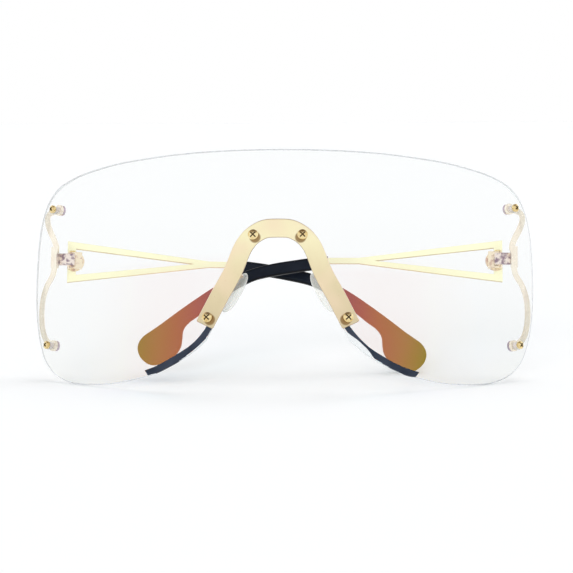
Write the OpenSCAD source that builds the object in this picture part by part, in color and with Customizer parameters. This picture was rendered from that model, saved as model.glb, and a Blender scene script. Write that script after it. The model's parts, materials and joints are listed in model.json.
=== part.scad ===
// Shield sunglasses: one clear bent lens, an arched nose strip screwed to its front, two side
// brackets screwed to its back, and a pair of temples that fold one behind the other.
// Everything is drawn square to the lens first: X runs across it, Y runs back from the foremost
// line of its front face, and Z runs up it from the lowest point of its lobes. The finished
// glasses are then leaned back until the lobes and the outer temple's tip share one level.
// Left and right are as seen from the front.

/* [Lens] */
// Width of the lens, side to side
lens_w = 151.6; // [146:0.2:160]
// Height of the lens, from its lobes to its top edge
lens_h = 67.3; // [62:0.1:74]
// Thickness of the lens
lens_t = 1.6; // [1.4:0.1:2.2]
// Radius of the lens's front face, which is bent round an upright cylinder
lens_r = 100; // [98:1:110]

/* [Nose strip] */
// Width of the arched metal strip
strip_w = 5.5; // [4.8:0.1:6.2]
// Thickness of the strip
strip_t = 1; // [0.8:0.1:1.4]
// Height of the strip's centre line at the top of its arch, above the lobes
arch_u = 43.7; // [40:0.1:48]
// Half the distance between the centre lines of the strip's two feet
foot_x = 20.9; // [19:0.1:23]
// Height of the arch along the centre line, from the strip's feet to its top
arch_h = 27.5; // [25:0.1:29]
// Radius of the strip's end corners
strip_corner_r = 0.6; // [0.4:0.1:1.2]
// How far the lens's cut-out edge lies outside the strip's inner edge
lens_setback = 0.3; // [0.2:0.05:0.6]

/* [Lens screws] */
// Diameter of the screws' shanks
screw_d = 1.4; // [1.2:0.1:1.6]
// Diameter of the heads of the strip's screws
strip_head_d = 3; // [2.6:0.1:3.2]
// Diameter of the heads of the side screws
side_head_d = 2.4; // [2.2:0.1:2.8]
// Height of the screws' heads
head_h = 1.2; // [0.9:0.1:1.4]
// Wall of the clear sleeves that line the holes in the lens
sleeve_wall = 0.25; // [0.2:0.05:0.5]
// Diameter of the round nuts
nut_d = 3.2; // [2.8:0.1:3.6]
// Height of the round nuts behind the strip's screws
strip_nut_h = 1.2; // [1:0.1:1.8]
// Height of the round nuts behind the side brackets
side_nut_h = 0.8; // [0.6:0.1:1.6]

/* [Side brackets] */
// How far the upper side screws sit inside the widest part of the lens
upper_eye_in = 5.8; // [5.4:0.1:7]
// Height of the upper side screws above the lobes
upper_eye_u = 55.1; // [53:0.1:56]
// How far the lower side screws sit inside the widest part of the lens
lower_eye_in = 4.8; // [4.6:0.1:6.4]
// Height of the lower side screws above the lobes
lower_eye_u = 13.5; // [12:0.1:17]
// Width of a bracket's arms, seen from the front
bracket_w = 1.8; // [1.4:0.1:2.2]
// Thickness of a bracket's arms
bracket_t = 0.9; // [0.7:0.1:1.2]
// Diameter of the eyes at a bracket's ends
eye_d = 3.3; // [3.2:0.1:3.8]
// Width of the rounded end piece that carries the hinge
end_piece_w = 2; // [1.6:0.1:2.4]
// Height of the rounded end piece
end_piece_h = 6.4; // [5:0.1:7]

/* [Hinges] */
// How far each hinge's axis sits inside the widest part of the lens
hinge_in = 10.3; // [10.2:0.1:12]
// Distance of each hinge's axis straight back from the back of the lens
hinge_back = 11.6; // [11.6:0.1:14]
// Height of the middle of each hinge above the lobes
hinge_u = 40.8; // [38:0.1:42]
// Diameter of the hinge's knuckles
knuckle_d = 2.5; // [2.3:0.1:2.7]
// Height of the hinge over its three knuckles
hinge_h = 5.1; // [4.6:0.1:6]
// Height of the bracket's middle knuckle
middle_h = 2.1; // [1.6:0.1:2.4]
// Diameter of the hinge screws' shanks
pivot_d = 1.3; // [1.1:0.1:1.4]
// Diameter of the hinge screws' heads
pivot_head_d = 1.9; // [1.7:0.1:2.2]
// Height of the hinge screws' heads
pivot_head_h = 0.5; // [0.4:0.1:0.7]
// Thickness of the leaf that joins the middle knuckle to its bracket
leaf_t = 1.2; // [0.9:0.1:1.4]
// Height of that leaf
leaf_h = 3.6; // [3.2:0.1:4.8]
// Radius of the rounded plate on the temple's leaf
disc_r = 3.1; // [2.8:0.1:3.4]
// Angle of the outer, left temple behind a line straight across the glasses
outer_fold = 7; // [7:0.5:12]
// Angle of the inner, right temple behind the same line
inner_fold = -1.5; // [-3:0.5:-1.5]

/* [Temples] */
// How far each folded tip ends short of the other hinge's axis, measured along the temple
tip_short = 21.4; // [21:0.1:24]
// Length of the bare metal part, from the hinge's axis to the tip's mouth
metal_l = 52; // [48:0.2:54]
// Height of the temple at its front end
front_h = 12.9; // [11:0.1:13.4]
// Width of the temple's upright front bar
front_bar_w = 2.6; // [2:0.1:3.2]
// Height of the two long bars where they leave the front bar
bar_h = 2.1; // [1.8:0.1:2.4]
// Length from the hinge's axis to the end of the open triangle
gap_l = 37.5; // [32:0.5:39]
// Length from the hinge's axis to where the two long bars are one
merge_l = 42.5; // [40:0.5:45]
// Height of that one bar
single_h = 1.8; // [1.6:0.1:2.4]
// Thickness of the temple's sheet
sheet_t = 1.4; // [1:0.1:1.5]
// How far the temple's front edge runs past the hinge's axis
front_over = 1.45; // [1.2:0.05:1.5]

/* [Temple tips] */
// Thickness of the moulded tips
tip_t = 2.5; // [2.2:0.1:2.6]
// Drop from the middle of the hinge to the bottom of the tip
tip_drop = 33; // [31:0.1:34]
// Radius that the tips are bent inward to, seen from above
tip_bend_r = 300; // [280:10:400]
// Height of the metal core inside the tip
core_h = 1.5; // [1:0.1:1.6]
// Thickness of the metal core
core_t = 0.9; // [0.7:0.1:1.1]

/* [Nose pads] */
// Distance of each pad's centre from the middle of the glasses
pad_x = 12.9; // [12:0.1:14]
// Distance of each pad's centre behind the lens's foremost line
pad_y = 8.6; // [8.2:0.1:10]
// Height of each pad's centre above the lobes
pad_u = 26.2; // [25:0.1:28]
// Angle of the pads away from upright, seen from the front
pad_tilt = 30; // [24:1:34]
// Angle of the pads away from straight back, seen from above
pad_splay = 30; // [24:1:34]
// Length of each soft pad
pad_l = 13.4; // [12:0.1:14]
// Width of each soft pad
pad_w = 7; // [6:0.1:7.5]
// Thickness of each soft pad
pad_h = 2.4; // [2:0.1:2.8]
// Diameter of the wires that carry the pads
wire_d = 1; // [0.8:0.1:1.1]
// Diameter of the shanks of the pads' screws
pad_screw_d = 0.9; // [0.8:0.1:1]
// Diameter of the heads of the pads' screws
pad_head_d = 1.5; // [1.2:0.1:1.6]

/* [Hidden] */

$fn = 48;

// Overrun of every cut past the face that it cuts
over = 0.5;
// Gap between faces that are screwed or soldered together
seat_gap = 0.04;
// Clearance all round a shank in its sleeve, nut or knuckle
shank_gap = 0.03;
// Clearance all round a sleeve in the lens
sleeve_gap = 0.02;
// Gap between neighbouring knuckles, along the hinge's axis
knuckle_gap = 0.12;
// Clearance round a piece that swings past another
swing_gap = 0.3;
// Gap between the bracket's leaf and the temple's knuckles
leaf_gap = 0.7;
// Gap between the hinge screw's head and the rounded plate
head_gap = 0.1;
// Clearance round the metal core in its tip
core_gap = 0.05;

// Rim that the cross slots leave round a lens screw's head
cross_rim = 0.45;
// Width of the cross slots
cross_w = 0.36;
// Depth of the cross slots
cross_deep = 0.55;
// Width of the straight slots in the hinge screws' heads
slot_w = 0.4;
// Width of the neck between the bracket's leaf and its knuckle
neck_w = 1.25;
// Length of the web that joins the temple's knuckles to their rounded plate
web_l = 3.1;
// Distance of the rounded plate's centre from the hinge's axis
disc_x = 0.7;
// Radius of a pad's face across its width
pad_dome_r = 6;
// Radius of a pad's faces along its length
pad_bow_r = 24;
// Distance of a pad's screw behind the back of the pad
pad_pivot = 1.5;
// Radius of the eye on a pad's tab
tab_r = 0.9;
// Height of the neck of a pad's tab
tab_neck_h = 1.3;
// Thickness of a pad's tab
tab_t = 1.4;
// Gap on each side of a pad's tab in its box
fork_gap = 0.2;
// Thickness of a pad box's cheeks
cheek_t = 0.6;
// Thickness of a pad box's base
base_t = 0.7;
// Height of a pad box
box_h = 2.2;
// How far a pad's wire runs straight back from the strip
wire_run = 4.4;
// Diameter of the beads at the bend and the end of a pad's wire
bead_d = 1.2;
// Height of a pad's wire above the strip's feet, along the leg
wire_rise = 17.1;
// Distance of a pad's wire from the strip's inner edge
wire_inset = 0.85;

// Outline of the lens's right half from the middle of its top to the inner end of the lobe, as
// shares of half its width and of its height
lens_outline_shares = [
    [0, 1], [0.18, 0.999], [0.36, 0.996], [0.5, 0.989], [0.625, 0.981], [0.71, 0.97],
    [0.793, 0.9555], [0.837, 0.943], [0.877, 0.927], [0.906, 0.909], [0.931, 0.883],
    [0.9485, 0.857], [0.963, 0.826], [0.975, 0.788], [0.9845, 0.742], [0.991, 0.69],
    [0.9955, 0.625], [0.999, 0.545], [1, 0.47], [0.998, 0.39],
    [0.991, 0.305], [0.979, 0.233], [0.967, 0.185], [0.951, 0.137], [0.922, 0.09], [0.898, 0.063],
    [0.86, 0.036], [0.81, 0.015], [0.745, 0.004], [0.68, 0], [0.616, 0.003], [0.576, 0.009],
    [0.533, 0.018], [0.492, 0.026], [0.4525, 0.041], [0.413, 0.0615], [0.3735, 0.0845],
    [0.335, 0.111], [0.298, 0.144], [0.272, 0.172],
];
// Centre line of the strip's right half from the top of the arch to its foot, as shares of the
// foot's distance from the middle and of the arch's height
strip_line_shares = [[0, 1], [0.181, 0.9905], [0.34, 0.9276], [0.44, 0.847], [0.512, 0.749],
    [0.627, 0.531], [0.806, 0.2836], [1, 0]];
// Place of the upper strip screws, as shares of the same two sizes
upper_screw_shares = [0.337, 0.927];
// How far the lower strip screws sit above the feet, as a share of the strip's width
lower_screw_share = 0.33;
// Upper arm of a bracket from the hinge's height to the upper eye, as shares of that rise: its
// distance outside the middle of the end piece, and its height above the hinge
upper_arm_shares = [[0, 0], [-0.036, 0.11], [-0.056, 0.2], [-0.027, 0.3], [0.032, 0.434],
    [0.105, 0.573], [0.172, 0.748], [0.186, 0.867], [0.16, 0.94], [0.08, 0.985]];
// Lower arm in the same way, as shares of the fall to the lower eye
lower_arm_shares = [[-0.006, 0.12], [0.015, 0.213], [0.083, 0.31], [0.13, 0.435], [0.147, 0.572],
    [0.141, 0.723], [0.108, 0.866], [0.05, 0.955]];
// Outline of a temple tip, as shares of its length and of its drop below the hinge's middle
tip_outline_shares = [
    [0, 0.043], [0.107, 0.022], [0.203, -0.003], [0.27, -0.023], [0.35, -0.055], [0.415, -0.09],
    [0.497, -0.153], [0.596, -0.252], [0.68, -0.352], [0.781, -0.482], [0.883, -0.622],
    [0.936, -0.69], [0.97, -0.735], [0.991, -0.785], [1, -0.845], [0.991, -0.912],
    [0.967, -0.965], [0.935, -0.997], [0.895, -0.997], [0.843, -0.957], [0.797, -0.895],
    [0.773, -0.82], [0.767, -0.745], [0.764, -0.685], [0.752, -0.637], [0.725, -0.586],
    [0.685, -0.535], [0.6, -0.415], [0.497, -0.291], [0.41, -0.209], [0.35, -0.173],
    [0.253, -0.138], [0.15, -0.107], [0.08, -0.088], [0, -0.065],
];
// Line of the metal core inside the tip, as shares of the same two sizes
core_line_shares = [[-0.04, 0], [0, -0.002], [0.06, -0.018], [0.15, -0.048], [0.26, -0.083],
    [0.37, -0.128], [0.48, -0.208], [0.6, -0.332], [0.7, -0.455]];
// Right half of a nose pad's outline from its top to its bottom, as shares of its width and length
pad_outline_shares = [[0, 0.5], [0.2, 0.46], [0.37, 0.34], [0.46, 0.16], [0.5, -0.08], [0.46, -0.3],
    [0.28, -0.46], [0, -0.5]];
// Points along each stretch of a smooth line
line_steps = 4;
// Points round each rounded corner
corner_steps = 6;
// Steps of the search for the angle at which the glasses lean back
lean_steps = 30;
// Largest angle that the search tries
most_lean = 60;

// Smooth lines and flat outlines
function flipped(list) = [for (i = [len(list) - 1 : -1 : 0]) list[i]];
function mirrored(list) = [for (p = list) [-p[0], p[1]]];
function inner(list) = [for (i = [1 : len(list) - 2]) list[i]];
function scaled(shares, size) = [for (s = shares) [s[0] * size[0], s[1] * size[1]]];
function moved(list, by) = [for (p = list) p + by];
function blend(a, b, c, d, t) =
    (2 * b + (c - a) * t + (2 * a - 5 * b + 4 * c - d) * t * t + (3 * b - a - 3 * c + d) * t * t * t) / 2;
function smooth(p) = let (m = len(p) - 1) concat(
    [for (i = [0 : m - 1], k = [0 : line_steps - 1])
        blend(p[max(i - 1, 0)], p[i], p[i + 1], p[min(i + 2, m)], k / line_steps)],
    [p[m]]);
function unit(v) = v / norm(v);
function along(line, i) = unit(line[min(i + 1, len(line) - 1)] - line[max(i - 1, 0)]);
function aside(t) = [t[1], -t[0]];
function shifted(line, by) = [for (i = [0 : len(line) - 1]) line[i] + by * aside(along(line, i))];
function longer(line, by) = let (m = len(line) - 1) concat(line, [line[m] + by * along(line, m)]);
function end_cap(e, t, w, r) = let (n = aside(t), a = 90 / corner_steps) concat(
    [for (k = [0 : corner_steps]) e + (w / 2 - r) * n + r * (cos(a * k) * n + sin(a * k) * t)],
    [for (k = [0 : corner_steps]) e - (w / 2 - r) * n + r * (cos(a * k) * t - sin(a * k) * n)]);
function ribbon(line, w, r) = let (m = len(line) - 1) concat(
    inner(shifted(line, w / 2)),
    end_cap(line[m], along(line, m), w, r),
    flipped(inner(shifted(line, -w / 2))),
    end_cap(line[0], -along(line, 0), w, r));

// Places on the lens: how far a cylinder of radius r has bent back at the distance x, how far a
// place on the front face is turned, and where its screw crosses the radius r
function sag(x, r) = lens_r - sqrt(r * r - x * x);
function lens_turn(x) = asin(x / lens_r);
function crossing(p, r) = [p[0] * r / lens_r, p[1]];
function dome(d) = d * 3 / 4;

half_w = lens_w / 2;
upper_eye_x = half_w - upper_eye_in;
lower_eye_x = half_w - lower_eye_in;
hinge_x = half_w - hinge_in;
back_r = lens_r - lens_t;
hinge_y = sag(hinge_x, back_r) + hinge_back;
bracket_front_r = back_r - seat_gap;
bracket_back_r = bracket_front_r - bracket_t;
strip_back_r = lens_r + seat_gap;
strip_front_r = strip_back_r + strip_t;
bore_d = screw_d + 2 * shank_gap;
sleeve_d = bore_d + 2 * sleeve_wall;
hole_d = sleeve_d + 2 * sleeve_gap;

// The strip's centre line, and the lens's outline round it
foot = [foot_x, arch_u - arch_h];
strip_half = moved(scaled(strip_line_shares, [foot_x, arch_h]), [0, foot[1]]);
strip_right = smooth(strip_half);
strip_line = concat(flipped(mirrored([for (i = [1 : len(strip_right) - 1]) strip_right[i]])), strip_right);
leg_up = -along(strip_right, len(strip_right) - 1);
cutout = shifted(strip_line, strip_w / 2 - lens_setback);
lens_half = smooth(scaled(lens_outline_shares, [half_w, lens_h]));
lens_outline = concat(
    lens_half, flipped(cutout),
    flipped(mirrored([for (i = [1 : len(lens_half) - 1]) lens_half[i]])));

upper_screw = [upper_screw_shares[0] * foot_x, foot[1] + upper_screw_shares[1] * arch_h];
lower_screw = foot + lower_screw_share * strip_w * leg_up;
strip_screw_places = [for (p = [upper_screw, lower_screw], s = [-1, 1]) [s * p[0], p[1]]];
upper_eye = [upper_eye_x, upper_eye_u];
lower_eye = [lower_eye_x, lower_eye_u];
side_screw_places = [for (p = [upper_eye, lower_eye], s = [-1, 1]) [s * p[0], p[1]]];

// The hinge, with the temple's sheet behind its axis when folded
plate_near = knuckle_d / 2 + swing_gap;
plate_far = plate_near + sheet_t;
plate_mid = plate_near + sheet_t / 2;
leaf_back_y = hinge_y - knuckle_d / 2 - leaf_gap;
end_piece_x = hinge_x + norm([plate_far, front_over]) + swing_gap;
end_piece_y = leaf_back_y - end_piece_h / 2;
slot_r = knuckle_d / 2 + swing_gap;
slot_h = middle_h + 2 * knuckle_gap;

// The middle line of a right bracket's arms, from eye to eye
arm_x = end_piece_x + end_piece_w / 2;
upper_rise = upper_eye_u - hinge_u;
lower_fall = hinge_u - lower_eye_u;
bracket_line = smooth(concat(
    [crossing(upper_eye, bracket_back_r)],
    flipped(moved(scaled(upper_arm_shares, [upper_rise, upper_rise]), [arm_x, hinge_u])),
    moved(scaled(lower_arm_shares, [lower_fall, -lower_fall]), [arm_x, hinge_u]),
    [crossing(lower_eye, bracket_back_r)]));

// The temple's outlines, with X along it from the hinge's axis
temple_l = 2 * hinge_x - tip_short;
tip_l = temple_l - metal_l;
tip_mouth = metal_l + core_gap;
tip_outline = moved(smooth(scaled(tip_outline_shares, [temple_l - tip_mouth, tip_drop])), [tip_mouth, 0]);
core_line = moved(smooth(scaled(core_line_shares, [tip_l, tip_drop])), [metal_l, 0]);

// A nose pad's box, from the back of the pad outward, and the wire that carries it
pad_place = [pad_x, pad_y, pad_u];
pad_out = [cos(pad_splay) * cos(pad_tilt), -sin(pad_splay), cos(pad_splay) * sin(pad_tilt)];
pivot_x = pad_h / 2 + pad_pivot;
box_w = tab_t + 2 * fork_gap + 2 * cheek_t;
box_near = pivot_x - tab_r;
box_inside = pivot_x + tab_r + swing_gap;
box_far = box_inside + base_t;
wire_place = foot + wire_rise * leg_up + (strip_w / 2 - wire_inset) * aside(-leg_up);
wire_bend = let (turn = lens_turn(wire_place[0]), r = lens_r - wire_run)
    [r * sin(turn), lens_r - r * cos(turn), wire_place[1]];
wire_end = pad_place + box_far * pad_out;

// How far the glasses lean back: the lobes and the outer temple's tip come to one level
function outer_place(p, w) = let (c = cos(outer_fold), s = sin(outer_fold))
    [p[0] * c - w * s - hinge_x, p[0] * s + w * c + hinge_y, hinge_u + p[1]];
function tip_face(l) = plate_mid - tip_bend_r + sqrt(pow(tip_bend_r + tip_t / 2, 2) - pow(l - metal_l, 2));
function level(p, a) = p[2] * cos(a) - p[1] * sin(a);
function depth(p, a) = p[1] * cos(a) + p[2] * sin(a);
function lowest(list, a) = min([for (p = list) level(p, a)]);
function find_lean(low, high, n) = let (a = (low + high) / 2)
    n == 0 ? a
    : lowest(tip_feet, a) > lowest(lens_feet, a) ? find_lean(a, high, n - 1)
    : find_lean(low, a, n - 1);
lens_feet = [for (p = lens_outline) [p[0], sag(p[0], back_r), p[1]]];
tip_feet = [for (p = tip_outline) outer_place(p, tip_face(p[0]))];
lean = find_lean(0, most_lean, lean_steps);
lift = -lowest(lens_feet, lean);

// The foremost screw head and the rearmost part of the outer temple set the middle, front to back
dome_r = dome(strip_head_d);
head_seat_r = strip_front_r + seat_gap;
dome_centre_r = head_seat_r + head_h - dome_r;
front_y = depth([0, lens_r - dome_centre_r * cos(lens_turn(lower_screw[0])), lower_screw[1]], lean) - dome_r;
back_y = max([for (p = concat(tip_feet, [outer_place([metal_l, single_h / 2], plate_far)])) depth(p, lean)]);

// Leans the glasses back, stands them on the ground and centres them front to back
module placed() {
    translate([0, -(front_y + back_y) / 2, lift])
        rotate([-lean, 0, 0])
            children();
}

// The right side as drawn, or the left side as its mirror image
module side(s) {
    mirror([s < 0 ? 1 : 0, 0, 0])
        children();
}

// A flat outline stood up, from y0 back over a given thickness
module upright(y0, thick) {
    translate([0, y0 + thick, 0])
        rotate([90, 0, 0])
            linear_extrude(thick)
                children();
}

// A shell round an upright axis at y, between two radii, from z0 up
module shell(y, r_out, r_in, z0, h) {
    translate([0, y, z0])
        difference() {
            cylinder(r = r_out, h = h, $fn = 180);
            translate([0, 0, -over])
                cylinder(r = r_in, h = h + 2 * over, $fn = 180);
        }
}

// A sheet bent like the lens between two radii, with a given outline from the front
module bent_sheet(r_out, r_in) {
    intersection() {
        shell(lens_r, r_out, r_in, -lens_h, 3 * lens_h);
        upright(lens_r - r_out - over, r_out + over)
            children();
    }
}

// Puts what is drawn along Y at a place on the lens, square to its face, with Y = 0 on the front
module on_lens(p) {
    translate([0, lens_r, p[1]])
        rotate([0, 0, lens_turn(p[0])])
            translate([0, -lens_r, 0])
                children();
}

// A cylinder along Y, from y0 back to y1
module rod(d, y0, y1) {
    translate([0, y1, 0])
        rotate([90, 0, 0])
            cylinder(d = d, h = y1 - y0);
}

// A round nut, sleeve or eye, from y0 back over its height
module ring(d, y0, h) {
    difference() {
        rod(d, y0, y0 + h);
        rod(bore_d, y0 - over, y0 + h + over);
    }
}

// A screw whose domed, cross-slotted head has a given width and its underside at seat_y
module lens_screw(head_d, seat_y, tip_y) {
    top_y = seat_y - head_h;
    cross_l = head_d - 2 * cross_rim;
    difference() {
        union() {
            rod(screw_d, seat_y - head_h / 2, tip_y);
            intersection() {
                rod(head_d, top_y, seat_y);
                translate([0, top_y + dome(head_d), 0])
                    sphere(r = dome(head_d));
            }
        }
        for (turn = [45, 135])
            translate([0, top_y - over, 0])
                rotate([0, turn, 0])
                    translate([-cross_l / 2, 0, -cross_w / 2])
                        cube([cross_l, over + cross_deep, cross_w]);
    }
}

module lens() {
    color([0.93, 0.96, 0.97, 0.45])
        placed()
            difference() {
                bent_sheet(lens_r, back_r)
                    polygon(lens_outline);
                for (p = concat(strip_screw_places, side_screw_places))
                    on_lens(p)
                        rod(hole_d, -over, lens_t + over);
                for (s = [-1, 1])
                    on_lens([s * wire_place[0], wire_place[1]])
                        rod(wire_d + 2 * swing_gap, -over, lens_t + over);
            }
}

module nose_strip() {
    color([0.9, 0.83, 0.62])
        placed()
            difference() {
                bent_sheet(strip_front_r, strip_back_r)
                    polygon(ribbon(strip_line, strip_w, strip_corner_r));
                for (p = strip_screw_places)
                    on_lens(p)
                        rod(bore_d, lens_r - strip_front_r - over, over);
            }
}

module strip_screws() {
    color([0.78, 0.62, 0.28])
        placed()
            for (p = strip_screw_places)
                on_lens(p)
                    lens_screw(strip_head_d, lens_r - head_seat_r, lens_t + strip_nut_h);
}

module strip_nuts() {
    color([0.8, 0.68, 0.4])
        placed()
            for (p = strip_screw_places)
                on_lens(p)
                    ring(nut_d, lens_t + seat_gap, strip_nut_h);
}

module lens_sleeves() {
    color([0.97, 0.97, 0.97, 0.6])
        placed()
            for (p = concat(strip_screw_places, side_screw_places))
                on_lens(p)
                    ring(sleeve_d, 0, lens_t);
}

module side_screws() {
    color([0.8, 0.66, 0.32])
        placed()
            for (p = side_screw_places)
                on_lens(p)
                    lens_screw(side_head_d, -seat_gap, lens_t + bracket_t + side_nut_h);
}

module side_nuts() {
    color([0.82, 0.72, 0.5])
        placed()
            for (p = side_screw_places)
                on_lens(p)
                    ring(nut_d, lens_t + bracket_t + 2 * seat_gap, side_nut_h);
}

// A block and a half-round end, level with the back of the bracket's leaf
module end_piece() {
    translate([end_piece_x, 0, hinge_u - end_piece_h / 2])
        cube([end_piece_w, end_piece_y, end_piece_h]);
    translate([end_piece_x, end_piece_y, hinge_u])
        rotate([0, 90, 0])
            cylinder(d = end_piece_h, h = end_piece_w);
}

module bracket(s) {
    color([0.9, 0.8, 0.68])
        placed()
            side(s)
                difference() {
                    union() {
                        bent_sheet(bracket_front_r, bracket_back_r)
                            polygon(ribbon(bracket_line, bracket_w, bracket_w / 3));
                        intersection() {
                            shell(lens_r, bracket_front_r, bracket_back_r, 0, lens_h);
                            for (p = [upper_eye, lower_eye])
                                on_lens(p)
                                    rod(eye_d, 0, lens_t + bracket_t + over);
                        }
                        intersection() {
                            translate([0, lens_r, 0])
                                cylinder(r = bracket_front_r, h = lens_h, $fn = 180);
                            end_piece();
                        }
                    }
                    for (p = [upper_eye, lower_eye])
                        on_lens(p)
                            rod(bore_d, 0, lens_t + bracket_t + 2 * over);
                }
}

// The bracket's half of the hinge: a flat leaf, and the middle knuckle on its neck
module bracket_leaf(s) {
    leaf_x = hinge_x - knuckle_d / 2;
    color([0.86, 0.76, 0.62])
        placed()
            side(s)
                difference() {
                    union() {
                        translate([leaf_x, leaf_back_y - leaf_t, hinge_u - leaf_h / 2])
                            cube([end_piece_x - seat_gap - leaf_x, leaf_t, leaf_h]);
                        translate([hinge_x - neck_w / 2, leaf_back_y - leaf_t / 2, hinge_u - middle_h / 2])
                            cube([neck_w, hinge_y - leaf_back_y + leaf_t / 2, middle_h]);
                        translate([hinge_x, hinge_y, hinge_u - middle_h / 2])
                            cylinder(d = knuckle_d, h = middle_h);
                    }
                    translate([hinge_x, hinge_y, hinge_u - middle_h / 2 - over])
                        cylinder(d = pivot_d + 2 * shank_gap, h = middle_h + 2 * over);
                }
}

// Puts a temple's own drawing at its hinge: X runs along it, Y away from the head, Z up
module at_hinge(s, fold) {
    placed()
        side(-s)
            translate([-hinge_x, hinge_y, hinge_u])
                rotate([0, 0, fold])
                    children();
}

// The temple's half of the hinge: two outer knuckles on a web, and a rounded plate on the sheet
module temple_leaf(s, fold) {
    disc_y = pivot_head_d / 2 + head_gap;
    color([0.9, 0.78, 0.58])
        at_hinge(s, fold)
            difference() {
                union() {
                    translate([0, 0, -hinge_h / 2])
                        cylinder(d = knuckle_d, h = hinge_h);
                    translate([0, -knuckle_d / 2, -hinge_h / 2])
                        cube([web_l, knuckle_d / 2 + disc_y, hinge_h]);
                    intersection() {
                        translate([disc_x, 0, 0])
                            rod(2 * disc_r, disc_y, plate_near - seat_gap);
                        translate([-front_over, 0, -disc_r])
                            cube([2 * disc_r + front_over, plate_near, 2 * disc_r]);
                    }
                }
                translate([0, 0, -slot_h / 2])
                    cylinder(r = slot_r, h = slot_h);
                translate([-slot_r, -slot_r, -slot_h / 2])
                    cube([slot_r, 2 * slot_r, slot_h]);
                translate([0, 0, -hinge_h / 2 - over])
                    cylinder(d = pivot_d + 2 * shank_gap, h = hinge_h + 2 * over);
            }
}

module hinge_screw(s, fold) {
    color([0.8, 0.7, 0.45])
        at_hinge(s, fold)
            difference() {
                union() {
                    translate([0, 0, -hinge_h / 2])
                        cylinder(d = pivot_d, h = hinge_h + pivot_head_h);
                    translate([0, 0, hinge_h / 2 + seat_gap])
                        cylinder(d = pivot_head_d, h = pivot_head_h);
                }
                translate([-pivot_head_d, -slot_w / 2, hinge_h / 2 + pivot_head_h / 2])
                    cube([2 * pivot_head_d, slot_w, pivot_head_h]);
            }
}

// The temple's sheet from its side: two long bars that leave an upright bar and become one
module sheet_outline() {
    front = -front_over;
    gap_front = front + front_bar_w;
    gap_h = (front_h / 2 - bar_h) * (gap_l - gap_front) / (gap_l - front);
    difference() {
        polygon([
            [front, front_h / 2], [merge_l, single_h / 2], [metal_l, single_h / 2],
            [metal_l, -single_h / 2], [merge_l, -single_h / 2], [front, -front_h / 2],
        ]);
        polygon([[gap_front, gap_h], [gap_l, 0], [gap_front, -gap_h]]);
    }
}

// A sheet that follows the tip's bend, with a given outline from the side
module bent_tip(thick) {
    intersection() {
        translate([metal_l, 0, 0])
            shell(plate_mid - tip_bend_r, tip_bend_r + thick / 2, tip_bend_r - thick / 2,
                -2 * tip_drop, 3 * tip_drop);
        upright(plate_mid - tip_drop, 2 * tip_drop)
            children();
    }
}

module temple_arm(s, fold) {
    color([0.93, 0.84, 0.5])
        at_hinge(s, fold)
            union() {
                upright(plate_near, sheet_t)
                    sheet_outline();
                bent_tip(core_t)
                    polygon(ribbon(core_line, core_h, core_h / 3));
            }
}

module temple_tip(s, fold) {
    color([0.07, 0.08, 0.12])
        at_hinge(s, fold)
            difference() {
                bent_tip(tip_t)
                    polygon(tip_outline);
                bent_tip(core_t + 2 * core_gap)
                    polygon(ribbon(longer(core_line, core_gap), core_h + 2 * core_gap, core_h / 3));
            }
}

// Puts a pad's own drawing in its place: X runs out from the pad to its box, Y back, Z up it
module at_pad(s) {
    placed()
        side(s)
            translate(pad_place)
                rotate([0, -pad_tilt, 0])
                    rotate([0, 0, -pad_splay])
                        children();
}

// A round wire from one point to another, with a small bead at its far end
module wire(a, b) {
    way = b - a;
    translate(a)
        rotate([0, acos(way[2] / norm(way)), atan2(way[1], way[0])]) {
            cylinder(d = wire_d, h = norm(way));
            translate([0, 0, norm(way)])
                sphere(d = bead_d);
        }
}

module pad_arm(s) {
    wire_start = let (turn = lens_turn(wire_place[0]))
        [wire_place[0], lens_r - lens_r * cos(turn), wire_place[1]];
    color([0.9, 0.8, 0.6])
        difference() {
            union() {
                at_pad(s)
                    translate([box_near, -box_w / 2, -box_h / 2])
                        cube([box_far - box_near, box_w, box_h]);
                placed()
                    side(s) {
                        wire(wire_start, wire_bend);
                        wire(wire_bend, wire_end);
                    }
            }
            at_pad(s)
                translate([box_near - over, -box_w / 2 + cheek_t, -box_h / 2 - over])
                    cube([box_inside - box_near + over, box_w - 2 * cheek_t, box_h + 2 * over]);
            at_pad(s)
                translate([pivot_x, 0, 0])
                    rod(pad_screw_d + 2 * shank_gap, -box_w / 2 - over, box_w / 2 + over);
        }
}

module pad_screw(s) {
    pad_head_h = pad_head_d / 3;
    color([0.85, 0.75, 0.5])
        at_pad(s)
            translate([pivot_x, 0, 0])
                union() {
                    rod(pad_screw_d, -box_w / 2, box_w / 2 + pad_head_h);
                    rod(pad_head_d, box_w / 2 + seat_gap, box_w / 2 + pad_head_h);
                }
}

module nose_pad(s) {
    outline = smooth(scaled(pad_outline_shares, [pad_w, pad_l]));
    color([0.93, 0.92, 0.9, 0.6])
        at_pad(s)
            difference() {
                union() {
                    intersection() {
                        rotate([0, 0, 90])
                            upright(-pad_h, 2 * pad_h)
                                polygon(concat(outline, flipped(mirrored(inner(outline)))));
                        translate([pad_dome_r - pad_h / 2, 0, -pad_l])
                            cylinder(r = pad_dome_r, h = 2 * pad_l, $fn = 120);
                        translate([pad_bow_r - pad_h / 2, 0, 0])
                            sphere(r = pad_bow_r, $fn = 240);
                        translate([pad_h / 2 - pad_bow_r, 0, 0])
                            sphere(r = pad_bow_r, $fn = 240);
                    }
                    translate([0, -tab_t / 2, -tab_neck_h / 2])
                        cube([pivot_x, tab_t, tab_neck_h]);
                    translate([pivot_x, 0, 0])
                        rod(2 * tab_r, -tab_t / 2, tab_t / 2);
                }
                translate([pivot_x, 0, 0])
                    rod(pad_screw_d + 2 * shank_gap, -tab_t, tab_t);
            }
}

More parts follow.
